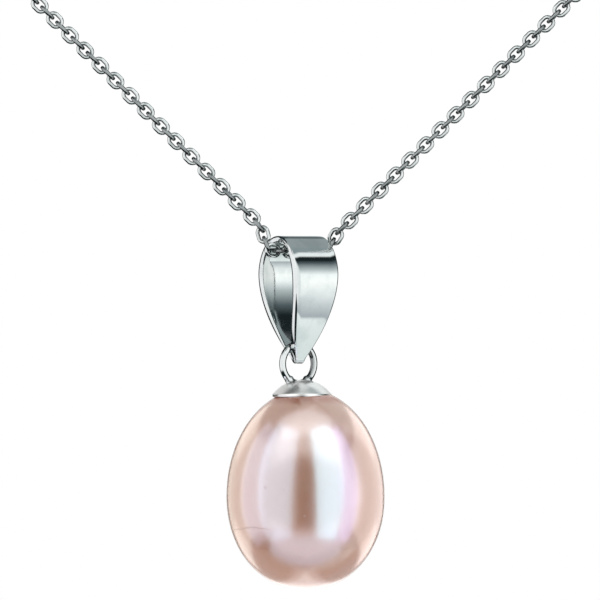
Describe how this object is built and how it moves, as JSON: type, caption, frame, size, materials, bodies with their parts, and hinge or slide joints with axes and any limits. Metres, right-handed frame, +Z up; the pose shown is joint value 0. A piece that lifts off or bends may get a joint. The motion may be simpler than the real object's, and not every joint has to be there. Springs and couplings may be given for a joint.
{
  "type": "pearl pendant necklace",
  "caption": "Drop pearl in a domed cap, hung by a ring from a folded strap bail on a fine cable chain with a spring ring clasp.",
  "frame": {"origin": "middle of the neck opening, level with the widest part of the chain, where a neck holds the necklace up", "axes": "+Z up, -Y towards the pendant at the front, +Y towards the clasp at the nape, +X to the right seen from the front"},
  "size_m": [0.123, 0.1272, 0.0992],
  "materials": {
    "chain_silver": "bright polished silver wire, faintly scuffed",
    "bail_silver": "mirror polished silver strap, hairline scratches",
    "drop_silver": "polished silver, a little duller in the corners",
    "peg_silver": "drawn silver wire, unpolished",
    "clasp_silver": "polished silver, rubbed where it is handled",
    "spring_steel": "drawn spring wire",
    "nacre": "lustrous peach nacre with a pink overtone and a few small pits"
  },
  "bodies": {
    "chain": {"left_link_1": "chain_silver", "left_link_2": "chain_silver", "left_link_3": "chain_silver", "left_link_4": "chain_silver", "left_link_5": "chain_silver", "left_link_6": "chain_silver", "left_link_7": "chain_silver", "left_link_8": "chain_silver", "left_link_9": "chain_silver", "right_link_1": "chain_silver", "right_link_2": "chain_silver", "right_link_3": "chain_silver", "right_link_4": "chain_silver", "right_link_5": "chain_silver", "right_link_6": "chain_silver", "right_link_7": "chain_silver", "right_link_8": "chain_silver", "right_link_9": "chain_silver", "left_chain_1": "chain_silver", "left_chain_2": "chain_silver", "left_chain_3": "chain_silver", "left_chain_4": "chain_silver", "left_chain_5": "chain_silver", "left_chain_6": "chain_silver", "right_chain_1": "chain_silver", "right_chain_2": "chain_silver", "right_chain_3": "chain_silver", "right_chain_4": "chain_silver", "right_chain_5": "chain_silver", "right_chain_6": "chain_silver", "left_end_link_1": "chain_silver", "left_end_link_2": "chain_silver", "left_end_link_3": "chain_silver", "right_end_link_1": "chain_silver", "right_end_link_2": "chain_silver", "right_end_link_3": "chain_silver"},
    "centre_link": {"centre_link": "chain_silver"},
    "bail": {"bail": "bail_silver"},
    "drop": {"drop_ring": "drop_silver", "pearl_cap": "drop_silver", "pearl_peg": "peg_silver", "pearl": "nacre"},
    "clasp": {"clasp_body": "clasp_silver", "clasp_eye": "clasp_silver", "clasp_spring": "spring_steel"},
    "clasp_bolt": {"clasp_bolt": "clasp_silver"},
    "clasp_jump_ring": {"clasp_jump_ring": "clasp_silver"},
    "catch_tab": {"catch_tab": "clasp_silver"},
    "tab_jump_ring": {"tab_jump_ring": "clasp_silver"}
  },
  "joints": [
    {"name": "pendant_swing", "type": "hinge", "parent": "chain", "child": "centre_link", "pos_m": [-0.00025, -0.0605, -0.06099], "axis": [0.7986, 0.6018, 0], "range_deg": [-40, 40]},
    {"name": "bail_turn", "type": "hinge", "parent": "centre_link", "child": "bail", "pos_m": [-0.00025, -0.0605, -0.06099], "axis": [0, 0, 1], "range_deg": [-12, 12]},
    {"name": "drop_swing", "type": "hinge", "parent": "bail", "child": "drop", "pos_m": [-0.00025, -0.0605, -0.06662], "axis": [0.7986, 0.6018, 0], "range_deg": [-20, 20]},
    {"name": "clasp_roll", "type": "hinge", "parent": "chain", "child": "clasp", "pos_m": [0, 0.0605, 0.014], "axis": [1, 0, 0], "range_deg": [-15, 15]},
    {"name": "bolt_slide", "type": "hinge", "parent": "clasp", "child": "clasp_bolt", "pos_m": [0, 0.0605, 0.014], "axis": [0, -1, 0], "range_deg": [0, 47], "stiffness_Nm_per_rad": 0.0005, "springref_deg": -20.05, "deforming": ["clasp_spring"]},
    {"name": "jump_roll", "type": "hinge", "parent": "chain", "child": "clasp_jump_ring", "pos_m": [0, 0.0605, 0.014], "axis": [1, 0, 0], "range_deg": [-20, 20]},
    {"name": "tab_roll", "type": "hinge", "parent": "chain", "child": "catch_tab", "pos_m": [0, 0.0605, 0.014], "axis": [1, 0, 0], "range_deg": [-15, 15]},
    {"name": "tab_jump_roll", "type": "hinge", "parent": "chain", "child": "tab_jump_ring", "pos_m": [0, 0.0605, 0.014], "axis": [1, 0, 0], "range_deg": [-20, 20]}
  ]
}
